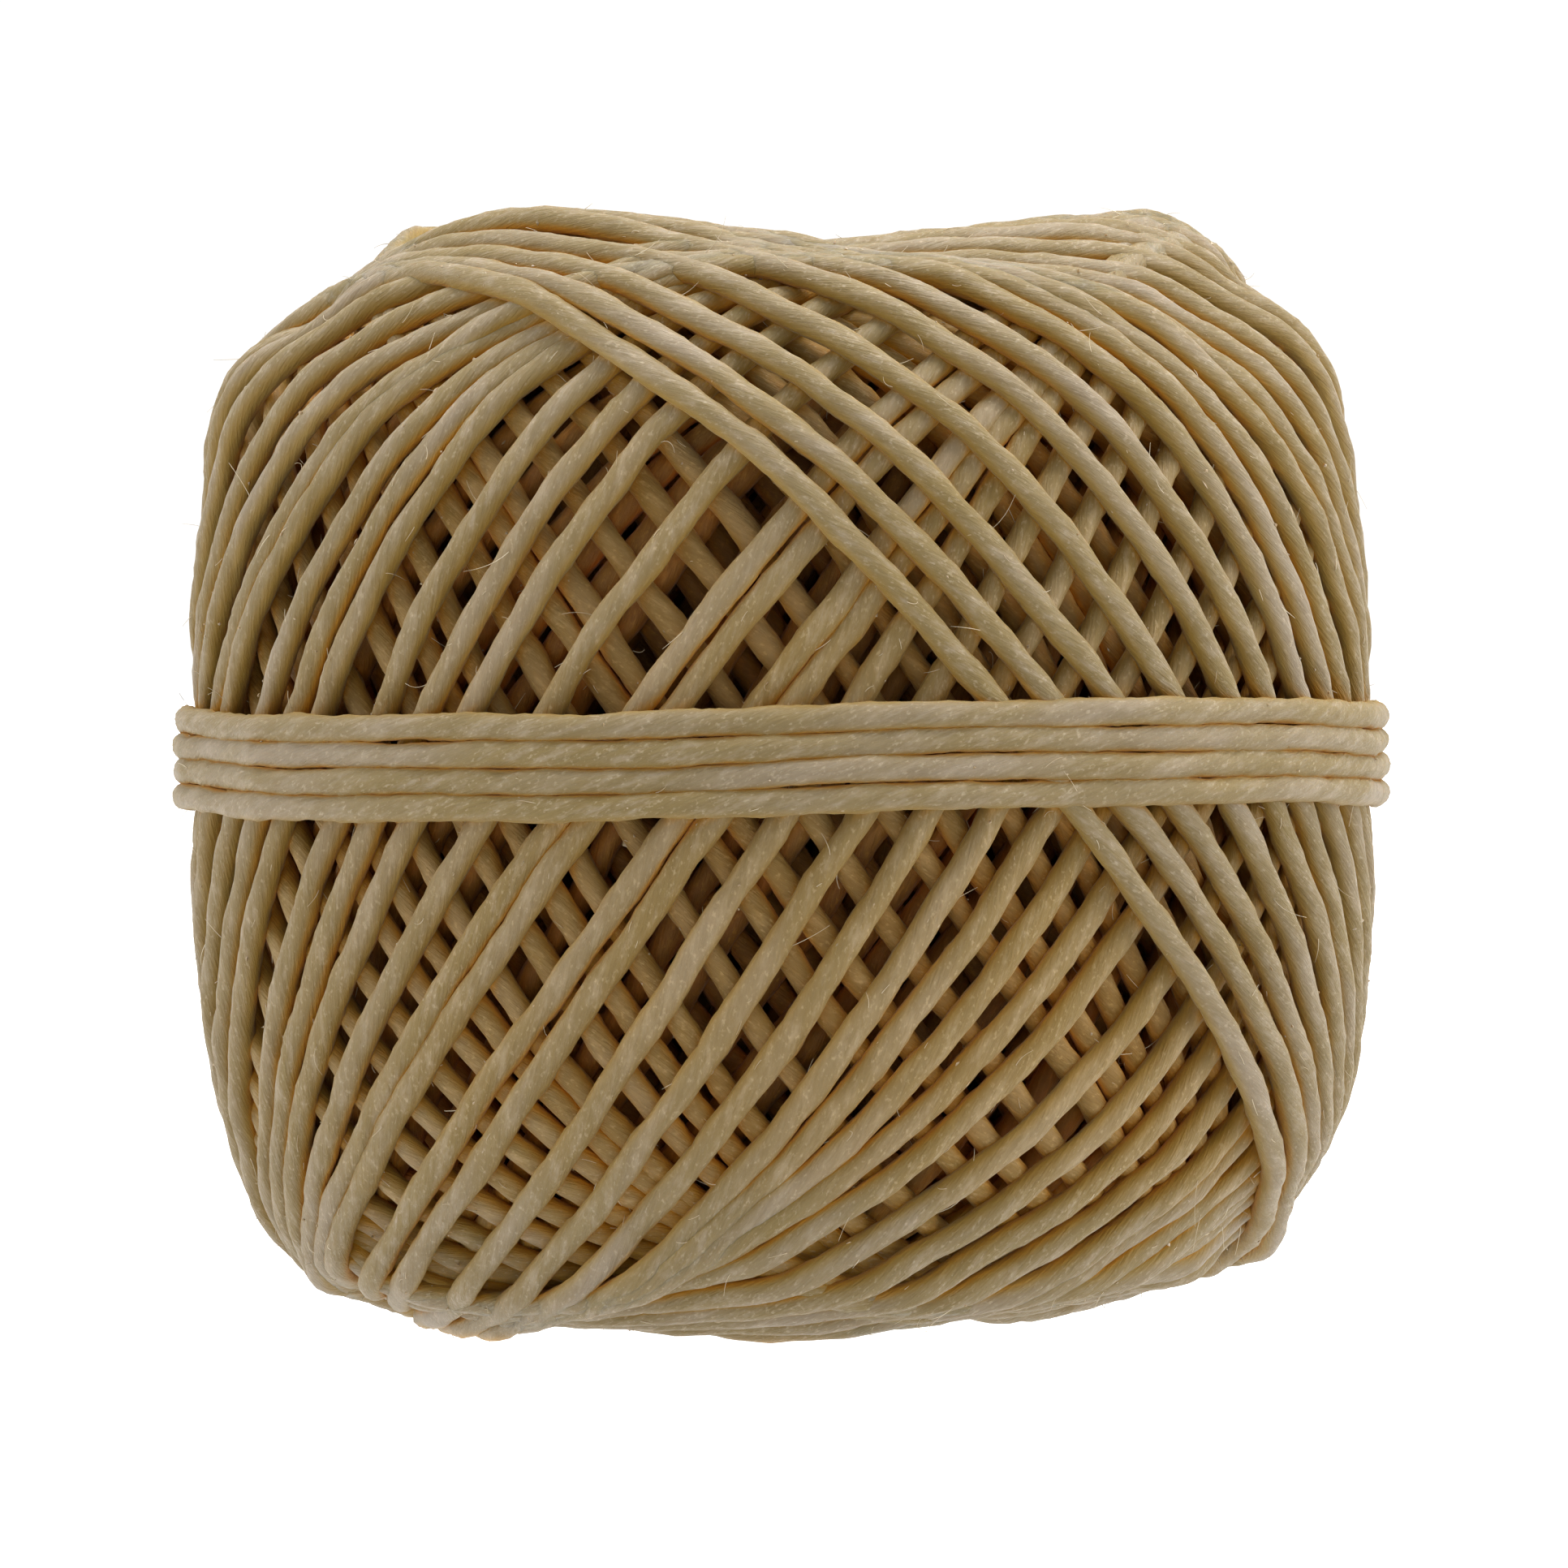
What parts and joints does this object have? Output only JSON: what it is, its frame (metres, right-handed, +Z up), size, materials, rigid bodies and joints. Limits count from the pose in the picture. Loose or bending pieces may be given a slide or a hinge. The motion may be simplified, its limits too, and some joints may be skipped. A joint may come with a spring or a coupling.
{
  "type": "waxed thread spool",
  "caption": "Cross-wound barrel-shaped ball of waxed thread on a hollow core tube, tied round its waist with its own thread.",
  "frame": {"origin": "centre of the base, on the winding axis, in the plane that the lower crest stands on", "axes": "+Z up along the winding axis; -Y is the side seen in the picture; the tucked thread end is at +Y"},
  "size_m": [0.0478, 0.0478, 0.0446],
  "materials": {
    "waxed_thread": "satin, wax-coated plied plant-fibre thread",
    "core_paper": "matt, unprinted grey-brown board"
  },
  "bodies": {
    "root": {"core_tube": "core_paper", "wound_thread": "waxed_thread", "tie_turn_1": "waxed_thread", "tie_turn_2": "waxed_thread", "tie_turn_3": "waxed_thread", "tie_turn_4": "waxed_thread", "thread_tail": "waxed_thread"}
  },
  "joints": []
}
